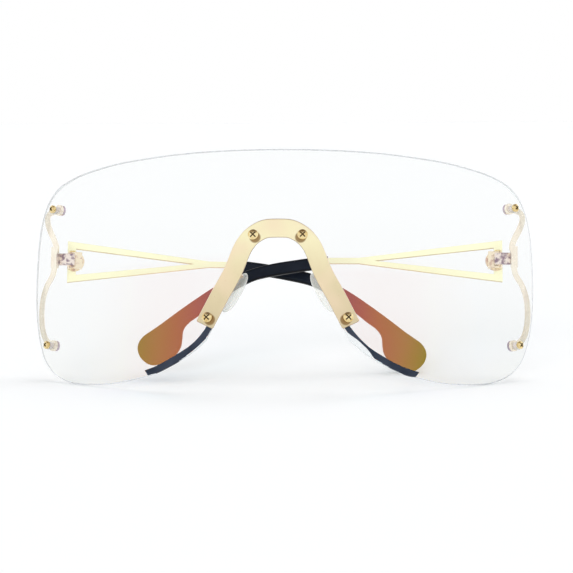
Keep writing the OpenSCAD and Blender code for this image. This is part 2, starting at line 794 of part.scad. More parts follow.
lens();
nose_strip();
strip_screws();
strip_nuts();
lens_sleeves();
side_screws();
side_nuts();
bracket(-1);  // left_bracket
bracket(1);  // right_bracket
bracket_leaf(-1);  // left_bracket_leaf
bracket_leaf(1);  // right_bracket_leaf
hinge_screw(-1, outer_fold);  // left_hinge_screw
hinge_screw(1, inner_fold);  // right_hinge_screw
temple_leaf(-1, outer_fold);  // left_temple_leaf
temple_leaf(1, inner_fold);  // right_temple_leaf
temple_arm(-1, outer_fold);  // left_temple_arm
temple_arm(1, inner_fold);  // right_temple_arm
temple_tip(-1, outer_fold);  // left_temple_tip
temple_tip(1, inner_fold);  // right_temple_tip
pad_arm(-1);  // left_pad_arm
pad_arm(1);  // right_pad_arm
pad_screw(-1);  // left_pad_screw
pad_screw(1);  // right_pad_screw
nose_pad(-1);  // left_nose_pad
nose_pad(1);  // right_nose_pad
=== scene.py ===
import json
from math import atan2, cos, hypot, pi, radians, sin, sqrt

import bmesh
import bpy
from mathutils import Matrix, Vector
from mathutils.geometry import delaunay_2d_cdt

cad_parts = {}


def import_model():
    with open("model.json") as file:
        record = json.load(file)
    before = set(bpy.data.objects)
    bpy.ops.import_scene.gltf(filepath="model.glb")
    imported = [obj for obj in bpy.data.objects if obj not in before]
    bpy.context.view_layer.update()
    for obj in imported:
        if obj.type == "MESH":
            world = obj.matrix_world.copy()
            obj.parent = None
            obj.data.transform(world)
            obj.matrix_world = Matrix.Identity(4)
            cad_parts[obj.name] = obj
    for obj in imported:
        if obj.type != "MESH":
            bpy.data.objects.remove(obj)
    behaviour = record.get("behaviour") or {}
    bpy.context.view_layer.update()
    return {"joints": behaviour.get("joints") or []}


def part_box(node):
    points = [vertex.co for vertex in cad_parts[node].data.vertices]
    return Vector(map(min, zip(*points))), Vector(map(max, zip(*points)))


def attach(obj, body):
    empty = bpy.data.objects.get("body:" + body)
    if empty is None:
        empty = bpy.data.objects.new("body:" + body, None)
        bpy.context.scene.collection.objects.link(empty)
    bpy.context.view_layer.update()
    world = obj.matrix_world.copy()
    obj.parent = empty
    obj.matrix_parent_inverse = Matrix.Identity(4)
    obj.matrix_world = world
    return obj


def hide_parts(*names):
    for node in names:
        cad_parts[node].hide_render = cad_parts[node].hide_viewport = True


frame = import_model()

MM = 0.001

# Sizes of the source that the scene needs again, in millimetres, and its angles
LENS_R = 100.0
LENS_T = 1.6
SEAT_GAP = 0.04
STRIP_T = 1.0
HINGE_X = 65.5
HINGE_Y = 38.1677
HINGE_U = 40.8
PLATE_NEAR = 1.55
SHEET_T = 1.4
METAL_L = 52.0
TIP_T = 2.5
TIP_BEND_R = 300.0
OUTER_FOLD = radians(7.0)
INNER_FOLD = radians(-1.5)
PAD_PLACE = (12.9, 8.6, 26.2)
PAD_TILT = radians(30.0)
PAD_SPLAY = radians(30.0)
PAD_L = 13.4
PAD_W = 7.0
PAD_H = 2.4
PAD_PIVOT = 1.5
TAB_R = 0.9
TAB_T = 1.4

# The lens's own frame, from the left fold joint: its axis is parallel to the lens's height
FOLD = {j["name"]: j for j in frame["joints"]}["left_temple_fold"]
LEAN = atan2(FOLD["axis"][1], FOLD["axis"][2])
ACROSS = Vector((1.0, 0.0, 0.0))
BACK = Vector((0.0, cos(LEAN), -sin(LEAN)))
HIGH = Vector((0.0, sin(LEAN), cos(LEAN)))
STRIP_LOW, STRIP_HIGH = (corner[2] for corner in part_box("nose_strip"))
HINGE_FROM_APEX = (-ACROSS * HINGE_X + BACK * HINGE_Y + HIGH * HINGE_U) * MM
APEX = Vector(FOLD["pos_m"]) - HINGE_FROM_APEX


def placed(p):
    return APEX + (ACROSS * p[0] + BACK * p[1] + HIGH * p[2]) * MM


def turned(v):
    return ACROSS * v[0] + BACK * v[1] + HIGH * v[2]


def drawn(co):
    rel = (co - APEX) / MM
    return Vector((rel.dot(ACROSS), rel.dot(BACK), rel.dot(HIGH)))


# Camera, found from the photograph: all its angles are from the lens's normal
CAMERA_BELOW = radians(9.0)
CAMERA_TURN = radians(2.66)
CAMERA_ROLL = radians(0.35)
CAMERA_DISTANCE = 0.600
FOCAL_PX = 2097.0
FRAME_PX = 573.0
APEX_PX = (276.99, 378.6)


def camera():
    right = Vector((cos(CAMERA_TURN), sin(CAMERA_TURN), 0.0))
    level = cos(CAMERA_BELOW)
    forward = Vector((-sin(CAMERA_TURN) * level, cos(CAMERA_TURN) * level, sin(CAMERA_BELOW)))
    up = right.cross(forward)
    rolled = right * cos(CAMERA_ROLL) + up * sin(CAMERA_ROLL)
    up = up * cos(CAMERA_ROLL) - right * sin(CAMERA_ROLL)
    right, up, forward = turned(rolled), turned(up), turned(forward)
    scale = CAMERA_DISTANCE / FOCAL_PX
    middle = FRAME_PX / 2
    centre = APEX + right * (middle - APEX_PX[0]) * scale + up * (APEX_PX[1] - middle) * scale
    data = bpy.data.cameras.new("photo_camera")
    data.sensor_fit = "HORIZONTAL"
    data.angle = 2 * atan2(middle, FOCAL_PX)
    data.clip_start = 0.01
    data.clip_end = 20.0
    cam = bpy.data.objects.new("photo_camera", data)
    rotation = Matrix((right, up, -forward)).transposed().to_4x4()
    cam.matrix_world = Matrix.Translation(centre - forward * CAMERA_DISTANCE) @ rotation
    bpy.context.scene.collection.objects.link(cam)
    bpy.context.scene.camera = cam


camera()


# Materials
def material(name):
    mat = bpy.data.materials.new(name)
    mat.use_nodes = True
    tree = mat.node_tree
    tree.nodes.clear()
    out = tree.nodes.new("ShaderNodeOutputMaterial")
    return mat, tree, out


def node(tree, kind, **sockets):
    made = tree.nodes.new(kind)
    for name, value in sockets.items():
        made.inputs[name.replace("_", " ")].default_value = value
    return made


def grain(tree, scale, detail, stretch=(1.0, 1.0, 1.0)):
    place = tree.nodes.new("ShaderNodeTexCoord")
    stretched = tree.nodes.new("ShaderNodeMapping")
    stretched.inputs["Scale"].default_value = stretch
    noise = node(tree, "ShaderNodeTexNoise", Scale=scale, Detail=detail)
    tree.links.new(place.outputs["Object"], stretched.inputs["Vector"])
    tree.links.new(stretched.outputs["Vector"], noise.inputs["Vector"])
    return noise.outputs["Fac"]


def ramp(tree, value, stops):
    made = tree.nodes.new("ShaderNodeValToRGB")
    bar = made.color_ramp
    while len(bar.elements) < len(stops):
        bar.elements.new(0.5)
    for element, (at, colour) in zip(bar.elements, stops):
        element.position = at
        element.color = (*colour, 1.0)
    tree.links.new(value, made.inputs["Fac"])
    return made.outputs["Color"]


def ranged(tree, value, low, high, start=0.0, end=1.0):
    made = tree.nodes.new("ShaderNodeMapRange")
    made.inputs["From Min"].default_value = start
    made.inputs["From Max"].default_value = end
    made.inputs["To Min"].default_value = low
    made.inputs["To Max"].default_value = high
    tree.links.new(value, made.inputs["Value"])
    return made.outputs["Result"]


def maths(tree, operation, *values):
    made = tree.nodes.new("ShaderNodeMath")
    made.operation = operation
    for value, socket in zip(values, made.inputs):
        if isinstance(value, float):
            socket.default_value = value
        else:
            tree.links.new(value, socket)
    return made.outputs["Value"]


def dotted(tree, value, way):
    made = tree.nodes.new("ShaderNodeVectorMath")
    made.operation = "DOT_PRODUCT"
    made.inputs[1].default_value = way
    tree.links.new(value, made.inputs[0])
    return made.outputs["Value"]


def blended(tree, share, first, second):
    made = tree.nodes.new("ShaderNodeMix")
    made.data_type = "RGBA"
    tree.links.new(share, made.inputs["Factor"])
    for value, socket in ((first, made.inputs[6]), (second, made.inputs[7])):
        if isinstance(value, tuple):
            socket.default_value = value
        else:
            tree.links.new(value, socket)
    return made.outputs[2]


# Depths of the surfaces' fine grain, in metres, and how much broader their clouds are than it
METAL_GRAIN = 0.00003
PLASTIC_GRAIN = 0.00002
BROADER = 14


def bumped(tree, value, strength, depth):
    made = node(tree, "ShaderNodeBump", Strength=strength, Distance=depth)
    tree.links.new(value, made.inputs["Height"])
    return made.outputs["Normal"]


def metal(name, dark, light, rough, grain_scale, stretch=(1.0, 1.0, 1.0), bump=0.15, metallic=1.0,
          stops=(0.3, 0.7)):
    mat, tree, out = material(name)
    shader = node(tree, "ShaderNodeBsdfPrincipled", Metallic=metallic)
    fine = grain(tree, grain_scale, 4.0, stretch)
    broad = grain(tree, grain_scale / BROADER, 2.0)
    tree.links.new(ramp(tree, broad, [(stops[0], dark), (stops[1], light)]), shader.inputs["Base Color"])
    tree.links.new(ranged(tree, fine, rough[0], rough[1]), shader.inputs["Roughness"])
    tree.links.new(bumped(tree, fine, bump, METAL_GRAIN), shader.inputs["Normal"])
    tree.links.new(shader.outputs["BSDF"], out.inputs["Surface"])
    return mat


# The strip's screws on the right half, in the lens's frame. The dark reflection beside each lies
# this far towards the middle and down, and has this radius, with its soft edge as shares of it.
STRIP_HEADS = ((6.9, 41.25), (19.9, 17.45))
CRESCENT = (-0.32, -0.32)
CRESCENT_R = 1.62
CRESCENT_EDGE = (0.86, 1.1)
CRESCENT_SHARE = 0.85


def near_heads(tree, split):
    spot = tree.nodes.new("ShaderNodeCombineXYZ")
    tree.links.new(maths(tree, "ABSOLUTE", split.outputs["X"]), spot.inputs["X"])
    for axis in ("Y", "Z"):
        tree.links.new(split.outputs[axis], spot.inputs[axis])
    reach = []
    for x, u in STRIP_HEADS:
        x, u = x + CRESCENT[0], u + CRESCENT[1]
        bend = LENS_R - sqrt(LENS_R * LENS_R - x * x)
        made = tree.nodes.new("ShaderNodeVectorMath")
        made.operation = "DISTANCE"
        made.inputs[1].default_value = placed((x, bend - STRIP_T, u))
        tree.links.new(spot.outputs["Vector"], made.inputs[0])
        reach.append(made.outputs["Value"])
    least = maths(tree, "MINIMUM", *reach)
    start, end = (CRESCENT_R * MM * share for share in CRESCENT_EDGE)
    return ranged(tree, least, CRESCENT_SHARE, 0.0, start, end)


# Pale gold with a pink blush; painted light makes it lighter towards the top of the arch, and painted shade
# makes it browner on the lower edges
def strip_metal():
    mat, tree, out = material("strip_gold")
    shader = node(tree, "ShaderNodeBsdfPrincipled", Metallic=1.0)
    place = tree.nodes.new("ShaderNodeTexCoord")
    split = tree.nodes.new("ShaderNodeSeparateXYZ")
    tree.links.new(place.outputs["Object"], split.inputs["Vector"])
    # Painted light: the gold grows lighter with height, towards the top of the arch
    height = ranged(tree, split.outputs["Z"], 0.0, 1.0, STRIP_LOW, STRIP_HIGH)
    cloud = grain(tree, 260.0, 2.0, (1.0, 1.0, 0.3))
    plating_and_painted_light = ramp(tree, maths(tree, "MULTIPLY_ADD", cloud, 0.22, height), [
        (0.08, (0.66, 0.56, 0.36)), (0.35, (0.76, 0.65, 0.42)), (0.62, (0.85, 0.74, 0.48)),
        (0.95, (0.98, 0.91, 0.60))])
    blush = ranged(tree, grain(tree, 90.0, 1.0), 0.0, 0.7, 0.45, 0.75)
    plating_and_painted_light = blended(tree, blush, plating_and_painted_light, (0.96, 0.76, 0.56, 1.0))
    # Painted highlight and shade on the edges: lighter where they face up, browner where they face sideways
    # or down
    upward = dotted(tree, place.outputs["Normal"], HIGH)
    edge = ramp(tree, ranged(tree, upward, 0.5, 1.0), [
        (0.45, (0.40, 0.28, 0.15)), (0.60, (0.92, 0.76, 0.62))])
    facing = maths(tree, "ABSOLUTE", dotted(tree, place.outputs["Normal"], BACK))
    with_painted_edge_light = blended(tree, ranged(tree, facing, 1.0, 0.0, 0.55, 0.90), plating_and_painted_light, edge)
    # Painted dark reflection of each screw head on the strip beside it
    shown = blended(tree, near_heads(tree, split), with_painted_edge_light, (0.26, 0.14, 0.04, 1.0))
    tree.links.new(shown, shader.inputs["Base Color"])
    fine = grain(tree, 3200.0, 4.0, (1.0, 1.0, 0.12))
    tree.links.new(ranged(tree, fine, 0.24, 0.36), shader.inputs["Roughness"])
    tree.links.new(bumped(tree, fine, 0.15, METAL_GRAIN), shader.inputs["Normal"])
    tree.links.new(shader.outputs["BSDF"], out.inputs["Surface"])
    return mat


# Black with a navy tinge, with a painted highlight on the flat that faces the lens and painted shade on the
# rounded edges
def black_plastic():
    mat, tree, out = material("tip_black")
    shader = node(tree, "ShaderNodeBsdfPrincipled", IOR=1.2)
    place = tree.nodes.new("ShaderNodeTexCoord")
    fine = grain(tree, 2600.0, 3.0)
    broad = grain(tree, 120.0, 2.0)
    facing = dotted(tree, place.outputs["Normal"], -BACK)
    flat = ramp(tree, broad, [(0.3, (0.005, 0.008, 0.014)), (0.7, (0.011, 0.014, 0.023))])
    # Painted highlight and shade: the flat facing the lens is lighter, the rounded edges near black
    shown = blended(tree, ranged(tree, facing, 0.0, 1.0, 0.6, 1.0), (0.0004, 0.001, 0.002, 1.0), flat)
    tree.links.new(shown, shader.inputs["Base Color"])
    tree.links.new(ranged(tree, broad, 0.30, 0.42), shader.inputs["Roughness"])
    tree.links.new(bumped(tree, fine, 0.08, PLASTIC_GRAIN), shader.inputs["Normal"])
    tree.links.new(shader.outputs["BSDF"], out.inputs["Surface"])
    return mat


# Heights on the lens between which its mirror coating fades out and the painted shade seen through its
# lower part thins out, and half its width in metres
COAT_FADES = (31.0, 37.0)
LOW_SHADE_FADES = (8.0, 52.0)
LENS_HALF = 0.0758


def risen(tree, heights, end):
    place = tree.nodes.new("ShaderNodeTexCoord")
    low, high = (placed((0, 0, u)).dot(HIGH) for u in heights)
    return ranged(tree, dotted(tree, place.outputs["Object"], HIGH), 0.0, end, low, high)


# The coating mirrors from pink in the middle to green at the sides, and lets the rest through, less and
# pinker where it mirrors most red: partly the coating's absorption, partly painted shade
def coated_lens():
    mat, tree, out = material("lens_coated")
    place = tree.nodes.new("ShaderNodeTexCoord")
    split = tree.nodes.new("ShaderNodeSeparateXYZ")
    tree.links.new(place.outputs["Object"], split.inputs["Vector"])
    share = ranged(tree, maths(tree, "ABSOLUTE", split.outputs["X"]), 0.0, 1.0, 0.0, LENS_HALF)
    cloud = grain(tree, 60.0, 1.0)
    mirror = ramp(tree, maths(tree, "MULTIPLY_ADD", cloud, 0.07, share), [
        (0.28, (0.35, 0.095, 0.085)), (0.36, (0.40, 0.115, 0.074)), (0.43, (0.42, 0.145, 0.058)),
        (0.50, (0.40, 0.180, 0.052)), (0.56, (0.35, 0.200, 0.036)), (0.63, (0.26, 0.220, 0.016)),
        (0.80, (0.07, 0.055, 0.025))])
    mirror = blended(tree, risen(tree, COAT_FADES, 1.0), mirror, (0.05, 0.035, 0.03, 1.0))
    parts = tree.nodes.new("ShaderNodeSeparateColor")
    tree.links.new(mirror, parts.inputs["Color"])
    # Partly the coating's absorption and partly painted shade: less passes, and pinker, where the mirror is
    # most red
    passed_and_shaded = blended(tree, parts.outputs["Red"], (0.99, 0.995, 0.995, 1.0), (0.93, 0.84, 0.83, 1.0))
    rest = node(tree, "ShaderNodeMix")
    rest.data_type = "RGBA"
    rest.blend_type = "SUBTRACT"
    rest.inputs["Factor"].default_value = 1.0
    tree.links.new(passed_and_shaded, rest.inputs[6])
    tree.links.new(mirror, rest.inputs[7])
    clear = tree.nodes.new("ShaderNodeBsdfTransparent")
    tree.links.new(rest.outputs[2], clear.inputs["Color"])
    gloss = node(tree, "ShaderNodeBsdfGlossy")
    tree.links.new(mirror, gloss.inputs["Color"])
    tree.links.new(ranged(tree, grain(tree, 400.0, 2.0), 0.02, 0.06), gloss.inputs["Roughness"])
    both = tree.nodes.new("ShaderNodeAddShader")
    tree.links.new(clear.outputs["BSDF"], both.inputs[0])
    tree.links.new(gloss.outputs["BSDF"], both.inputs[1])
    tree.links.new(both.outputs["Shader"], out.inputs["Surface"])
    return mat


def plain_lens():
    mat, tree, out = material("lens_back")
    clear = tree.nodes.new("ShaderNodeBsdfTransparent")
    # Painted shade: what shows through the lens turns greyer towards its bottom
    low_shade = maths(tree, "MULTIPLY_ADD", grain(tree, 40.0, 1.0), 0.2, risen(tree, LOW_SHADE_FADES, 0.8))
    tint = ramp(tree, low_shade, [(0.1, (0.945, 0.955, 0.945)), (0.9, (0.99, 0.995, 0.99))])
    tree.links.new(tint, clear.inputs["Color"])
    tree.links.new(clear.outputs["BSDF"], out.inputs["Surface"])
    return mat


def see_through(name, colour, shade, rough, clear_share):
    mat, tree, out = material(name)
    shader = node(tree, "ShaderNodeBsdfPrincipled", IOR=1.45)
    cloud = grain(tree, 500.0, 2.0)
    tree.links.new(ramp(tree, cloud, [(0.3, shade), (0.7, colour)]), shader.inputs["Base Color"])
    tree.links.new(ranged(tree, cloud, rough[0], rough[1]), shader.inputs["Roughness"])
    clear = tree.nodes.new("ShaderNodeBsdfTransparent")
    clear.inputs["Color"].default_value = (*colour, 1.0)
    share = tree.nodes.new("ShaderNodeLayerWeight")
    share.inputs["Blend"].default_value = 0.35
    mix = tree.nodes.new("ShaderNodeMixShader")
    tree.links.new(ranged(tree, share.outputs["Facing"], 1 - clear_share, 1.0), mix.inputs[0])
    tree.links.new(clear.outputs["BSDF"], mix.inputs[1])
    tree.links.new(shader.outputs["BSDF"], mix.inputs[2])
    tree.links.new(mix.outputs["Shader"], out.inputs["Surface"])
    return mat


# Painted navy band: an image of the black temple tips as the lens's edge shows them
def navy_band():
    mat, tree, out = material("lens_band")
    shader = node(tree, "ShaderNodeBsdfPrincipled", IOR=1.2)
    broad = grain(tree, 150.0, 2.0)
    navy = ramp(tree, broad, [(0.3, (0.016, 0.022, 0.036)), (0.75, (0.045, 0.055, 0.08))])
    tree.links.new(navy, shader.inputs["Base Color"])
    tree.links.new(ranged(tree, broad, 0.15, 0.3), shader.inputs["Roughness"])
    tree.links.new(shader.outputs["BSDF"], out.inputs["Surface"])
    return mat


LENS_COAT = coated_lens()
LENS_RIM = see_through("lens_rim", (0.82, 0.84, 0.85), (0.74, 0.76, 0.78), (0.2, 0.35), 0.5)
LENS_BACK = plain_lens()
LENS_BAND = navy_band()
STRIP_GOLD = strip_metal()
ROSE_GOLD = metal("rose_gold", (0.96, 0.85, 0.72), (1.0, 0.93, 0.81), (0.22, 0.30), 3200.0, bump=0.04,
                  metallic=0.65)
HINGE_METAL = metal("hinge_metal", (0.30, 0.22, 0.28), (0.93, 0.82, 0.76), (0.16, 0.28), 11000.0, bump=0.04,
                    stops=(0.38, 0.56))
HINGE_WARM = metal("hinge_plate", (0.72, 0.52, 0.42), (0.97, 0.85, 0.66), (0.16, 0.28), 7000.0, bump=0.04,
                   stops=(0.36, 0.52))
NUT_METAL = metal("nut_metal", (0.40, 0.34, 0.44), (0.68, 0.58, 0.66), (0.2, 0.32), 3200.0)
YELLOW_GOLD = metal("yellow_gold", (1.0, 0.96, 0.66), (1.0, 0.98, 0.70), (0.30, 0.34), 420.0, bump=0.002,
                    metallic=0.5)
# Painted shade: browner gold for the temple arms' faces that point down
UNDERSIDE_SHADE = metal("yellow_gold_underside_shade", (0.55, 0.40, 0.17), (0.72, 0.56, 0.28), (0.3, 0.45), 3200.0)
BRASS = metal("screw_brass", (0.72, 0.50, 0.20), (0.99, 0.86, 0.50), (0.12, 0.22), 9000.0)
SLOT_DARK = metal("slot_shadow", (0.05, 0.028, 0.01), (0.11, 0.065, 0.022), (0.4, 0.6), 4200.0,
                  metallic=0.6)
TIP_BLACK = black_plastic()
PAD_CLEAR = see_through("pad_silicone", (0.99, 0.995, 0.98), (0.96, 0.97, 0.95), (0.1, 0.2), 0.92)
SLEEVE_CLEAR = see_through("sleeve_plastic", (0.95, 0.92, 0.90), (0.88, 0.84, 0.83), (0.1, 0.2), 0.6)


# Shapes: a sheet between two faces is rebuilt from the outlines of its CAD node's front face.
# face_loops gives those of the face at one depth, laid out flat, the largest first. Directions
# on a sheet are found over a short step, in millimetres.
SHORT_STEP = 0.01


def joined(name):
    bm = bmesh.new()
    bm.from_mesh(bpy.data.objects[name].data)
    bmesh.ops.remove_doubles(bm, verts=bm.verts, dist=1e-6)
    return bm


def face_loops(name, flat, depth, near=0.02):
    bm = joined(name)
    spot = {v: flat(drawn(v.co)) for v in bm.verts}
    on_face = {v for v, p in spot.items() if abs(p[2] - depth) < near}
    chosen = {f for f in bm.faces if all(v in on_face for v in f.verts)}
    edges = [e for e in bm.edges if sum(f in chosen for f in e.link_faces) == 1]
    next_to = {}
    for e in edges:
        for a, b in (e.verts, reversed(e.verts)):
            next_to.setdefault(a, []).append(b)
    loops = []
    left = set(next_to)
    while left:
        start = min(left, key=lambda v: v.index)
        loop, last, here = [start], None, start
        while True:
            ahead = [v for v in next_to[here] if v is not last]
            last, here = here, ahead[0]
            if here is start:
                break
            loop.append(here)
        left -= set(loop)
        loops.append([Vector(spot[v][:2]) for v in loop])
    bm.free()
    return sorted((tidy(loop) for loop in loops), key=lambda loop: -abs(area(loop)))


def area(loop):
    return sum(a.x * b.y - b.x * a.y for a, b in zip(loop, loop[1:] + loop[:1])) / 2


def tidy(loop, least=0.05):
    kept = []
    for p in loop:
        if not kept or (p - kept[-1]).length > least:
            kept.append(p)
    if (kept[0] - kept[-1]).length <= least:
        kept.pop()
    return kept


def sides(loop, sharpest=0.6):
    count = len(loop)
    found = []
    for i, p in enumerate(loop):
        a = (p - loop[i - 1]).normalized()
        b = (loop[(i + 1) % count] - p).normalized()
        n = Vector((-a.y - b.y, a.x + b.x)).normalized()
        spread = max(n.dot(Vector((-a.y, a.x))), sharpest)
        found.append((n, 1 / spread))
    return found


def encloses(x, y, loops):
    odd = False
    for loop in loops:
        for a, b in zip(loop, loop[1:] + loop[:1]):
            if (a.y > y) != (b.y > y) and x < (b.x - a.x) * (y - a.y) / (b.y - a.y) + a.x:
                odd = not odd
    return odd


def inside(p, loops):
    return encloses(p.x, p.y, loops)


def cap(loops, grid, lines=(), clear=0.45):
    points = [p for loop in loops for p in loop]
    edges = []
    first = 0
    for loop in loops:
        edges += [(first + i, first + (i + 1) % len(loop)) for i in range(len(loop))]
        first += len(loop)
    rim = list(points)
    for line in lines:
        edges += [(len(points) + i, len(points) + i + 1) for i in range(len(line) - 1)]
        points += line
    low = Vector((min(p.x for p in rim), min(p.y for p in rim)))
    high = Vector((max(p.x for p in rim), max(p.y for p in rim)))
    near = list(points)
    steps = [int((high - low)[k] / grid) for k in (0, 1)]
    for i in range(1, steps[0] + 1):
        for k in range(1, steps[1] + 1):
            p = low + Vector((i * grid, k * grid))
            if inside(p, loops) and min((p - q).length for q in near) > grid * clear:
                points.append(p)
    found = delaunay_2d_cdt(points, edges, [], 0, 1e-6)
    spots, faces = found[0], found[2]
    kept = []
    for f in faces:
        x = sum(spots[i].x for i in f) / len(f)
        y = sum(spots[i].y for i in f) / len(f)
        if encloses(x, y, loops):
            kept.append(f)
    return spots, found[3], kept


def rounded_sheet(name, loops, place, w0, w1, r, grid, lines=(), steps=4):
    """A sheet between the depths w0 and w1, whose edges are rounded to the radius r.
    place(p, w) gives a point's place and the sheet's backward direction there."""
    turned_loops = [loop if (area(loop) > 0) == (i == 0) else loop[::-1] for i, loop in enumerate(loops)]
    bm = bmesh.new()
    normals = []

    def vertex(p, w, out, face):
        spot, back = place(p, w)
        side, _ = place(p + out * SHORT_STEP, w)
        flat = (side - spot).normalized() if out.length > 0 else Vector((0, 0, 0))
        share = out.length
        normals.append((flat * share + back * face).normalized())
        return bm.verts.new(spot)

    profile = []
    for k in range(steps + 1):
        a = pi / 2 * k / steps
        profile.append((r * (1 - sin(a)), w0 + r * (1 - cos(a)), sin(a), -cos(a)))
    for k in range(steps + 1):
        a = pi / 2 * k / steps
        profile.append((r * (1 - cos(a)), w1 - r * (1 - sin(a)), cos(a), sin(a)))
    rings = []
    for loop in turned_loops:
        normal_list = sides(loop)
        rings.append([[vertex(p + n * (inset * more), w, -n * share, face)
                       for p, (n, more) in zip(loop, normal_list)]
                      for inset, w, share, face in profile])
    at, back = place(loops[0][0], w0)
    across = place(loops[0][0] + Vector((SHORT_STEP, 0)), w0)[0] - at
    upward = place(loops[0][0] + Vector((0, SHORT_STEP)), w0)[0] - at
    flip = -1 if across.cross(upward).dot(back) > 0 else 1
    for ring in rings:
        for near_ring, far_ring in zip(ring, ring[1:]):
            count = len(near_ring)
            for i in range(count):
                k = (i + 1) % count
                corners = (near_ring[k], near_ring[i], far_ring[i], far_ring[k])
                bm.faces.new(corners[::flip])
    inner_loops = [[p + n * (r * more) for p, (n, more) in zip(loop, sides(loop))] for loop in turned_loops]
    spots, origins, triangles = cap(inner_loops, grid, lines)
    for index, w, face in ((0, w0, -1.0), (-1, w1, 1.0)):
        known = [v for ring in rings for v in ring[index]]
        made = []
        for i, p in enumerate(spots):
            old = [o for o in origins[i] if o < len(known)]
            made.append(known[old[0]] if old else vertex(p, w, Vector((0, 0)), face))
        for t in triangles:
            corners = [made[i] for i in t]
            bm.faces.new(corners[::flip] if face < 0 else corners[::-flip])
    bm.verts.index_update()
    mesh = bpy.data.meshes.new(name)
    bm.to_mesh(mesh)
    bm.free()
    mesh.shade_smooth()
    mesh.normals_split_custom_set_from_vertices(normals)
    made = bpy.data.objects.new(name, mesh)
    bpy.context.scene.collection.objects.link(made)
    return made


def on_cylinder(p, w):
    r = LENS_R - w
    run = sqrt(r * r - p.x * p.x)
    back = Vector((-p.x / r, run / r, 0.0))
    return placed((p.x, LENS_R - run, p.y)), turned(back)


def off_cylinder(q):
    return Vector((q.x, q.z, LENS_R - hypot(q.x, LENS_R - q.y)))


def temple(side, fold):
    """Ways from a temple's own sheet to its place and back: X along it, Y away from the head."""
    c, s = cos(fold), sin(fold)

    def there(along, away, up):
        x = along * c - away * s - HINGE_X
        return Vector((-side * x, along * s + away * c + HINGE_Y, HINGE_U + up))

    def here(q):
        x = -side * q.x + HINGE_X
        y = q.y - HINGE_Y
        return x * c + y * s, y * c - x * s, q.z - HINGE_U

    return there, here


def on_bend(side, fold):
    there, here = temple(side, fold)
    centre = PLATE_NEAR + SHEET_T / 2 - TIP_BEND_R

    def place(p, w):
        r = TIP_BEND_R + w
        run = p.x - METAL_L
        rise = sqrt(r * r - run * run)
        a = there(p.x, centre + rise, p.y)
        b = there(p.x + run / r, centre + rise + rise / r, p.y)
        return placed(a), turned(b - a)

    def flat(q):
        along, away, up = here(q)
        return Vector((along, up, hypot(along - METAL_L, away - centre) - TIP_BEND_R))

    return place, flat


def dress(made, body, materials, *nodes):
    for mat in materials:
        made.data.materials.append(mat)
    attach(made, body)
    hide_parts(*nodes)
    return made


# Lens, with a navy band painted on the nose side of each lobe, an image of the black temple tips as the
# lens's edge shows them: its outline on either side, in the lens's frame, from the strip's foot along the
# inner edge and back along the outer one
BAND_LEFT = [(20.3, 15.9), (20.67, 15.36), (21.1, 14.55), (22.68, 12.53), (24.14, 11.0), (26.02, 9.52),
             (28.15, 8.23), (30.7, 6.78), (33.24, 5.43), (36.04, 4.18), (38.98, 3.27), (38.3, 2.27),
             (37.95, 1.75), (35.5, 2.3), (33.0, 3.2), (30.8, 4.3), (28.65, 5.5), (26.5, 6.95),
             (24.6, 8.35), (22.9, 9.85), (21.4, 11.5), (19.95, 13.05), (19.1, 14.5), (18.7, 15.4)]
BAND_RIGHT = [(20.5, 15.8), (20.94, 15.18), (22.26, 13.53), (24.1, 11.53), (26.17, 9.62), (28.21, 8.25),
              (30.28, 7.08), (32.73, 5.64), (35.81, 4.33), (38.94, 3.32), (40.8, 2.92), (40.2, 2.0),
              (39.75, 1.41), (37.89, 1.5), (35.81, 2.2), (32.72, 3.47), (29.64, 5.2), (27.3, 6.9),
              (26.5, 8.1), (25.7, 9.05), (24.0, 10.65), (22.6, 11.8), (21.2, 12.75), (20.1, 13.6),
              (19.3, 14.8), (18.9, 15.6)]

# Where grey is painted on the lens for its edge's refraction, below the narrow part of the right band
EDGE_RIGHT = [(20.1, 13.6), (21.2, 12.75), (22.6, 11.8), (24.0, 10.65), (25.7, 9.05), (26.5, 8.1),
              (27.3, 6.9), (26.6, 4.0), (21.0, 8.0), (17.0, 13.0)]

# How near the lens's front or back the middle of a face lies that is on it, and which of the
# lens's materials its rim, bands and back have
FACE_NEAR = 0.05
RIM, BAND, REAR = 1, 2, 3


def from_edge(p, loops):
    least = 1000.0
    for loop in loops:
        for a, b in zip(loop, loop[1:] + loop[:1]):
            side = b - a
            share = min(max((p - a).dot(side) / side.length_squared, 0.0), 1.0)
            least = min(least, (a + side * share - p).length)
    return least


def runs_inside(line, loops, margin=0.33):
    runs = [[]]
    for p in line:
        if inside(p, loops) and from_edge(p, loops) > margin:
            runs[-1].append(p)
        elif runs[-1]:
            runs.append([])
    return [run for run in runs if len(run) > 1]


lens_loops = face_loops("lens", off_cylinder, 0.0)
bands = [[Vector((-x, u)) for x, u in BAND_LEFT], [Vector(p) for p in BAND_RIGHT]]
grey_edge = [Vector(p) for p in EDGE_RIGHT]
band_lines = [run for band in bands for run in runs_inside(band, lens_loops)]
lens = rounded_sheet("clear_lens", lens_loops, on_cylinder, 0.0, LENS_T, r=0.25, grid=3.0,
                     lines=band_lines, steps=3)
dress(lens, "frame", [LENS_COAT, LENS_RIM, LENS_BAND, LENS_BACK], "lens")
for face in lens.data.polygons:
    q = drawn(Vector(face.center))
    w = off_cylinder(q)[2]
    if w >= LENS_T - FACE_NEAR:
        face.material_index = REAR
    elif any(encloses(q.x, q.z, [band]) for band in bands):
        face.material_index = BAND
    elif w > FACE_NEAR or encloses(q.x, q.z, [grey_edge]):
        face.material_index = RIM

# Nose strip
strip_front = -(SEAT_GAP + STRIP_T)
strip = rounded_sheet("gold_strip", face_loops("nose_strip", off_cylinder, strip_front), on_cylinder,
                      strip_front, -SEAT_GAP, r=0.3, grid=3.0)
dress(strip, "frame", [STRIP_GOLD], "nose_strip")

